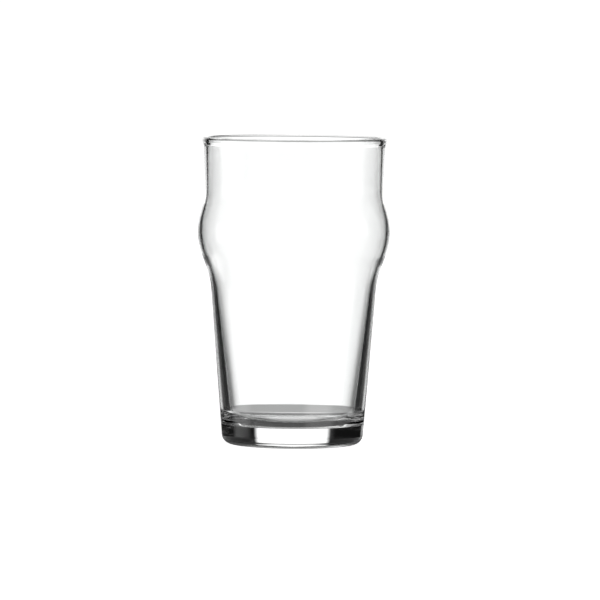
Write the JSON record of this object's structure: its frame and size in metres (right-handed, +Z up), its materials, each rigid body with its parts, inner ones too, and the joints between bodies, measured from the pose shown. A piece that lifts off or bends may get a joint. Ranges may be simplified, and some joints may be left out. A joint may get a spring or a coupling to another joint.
{
  "type": "pint glass",
  "caption": "Clear pressed beer glass with a bulge below its upright rim, a tapering thick-walled body and a heavy solid base on a narrow standing ring.",
  "frame": {"origin": "middle of the circle that the glass stands on, in the plane of its standing ring", "axes": "+Z up along the glass's axis of symmetry; X and Y are any two level directions, because the glass is the same all round"},
  "size_m": [0.092, 0.092, 0.1465],
  "materials": {
    "clear_glass": "clear soda-lime glass, fire-polished and smooth all over"
  },
  "bodies": {
    "root": {"glass_body": "clear_glass"}
  },
  "joints": []
}
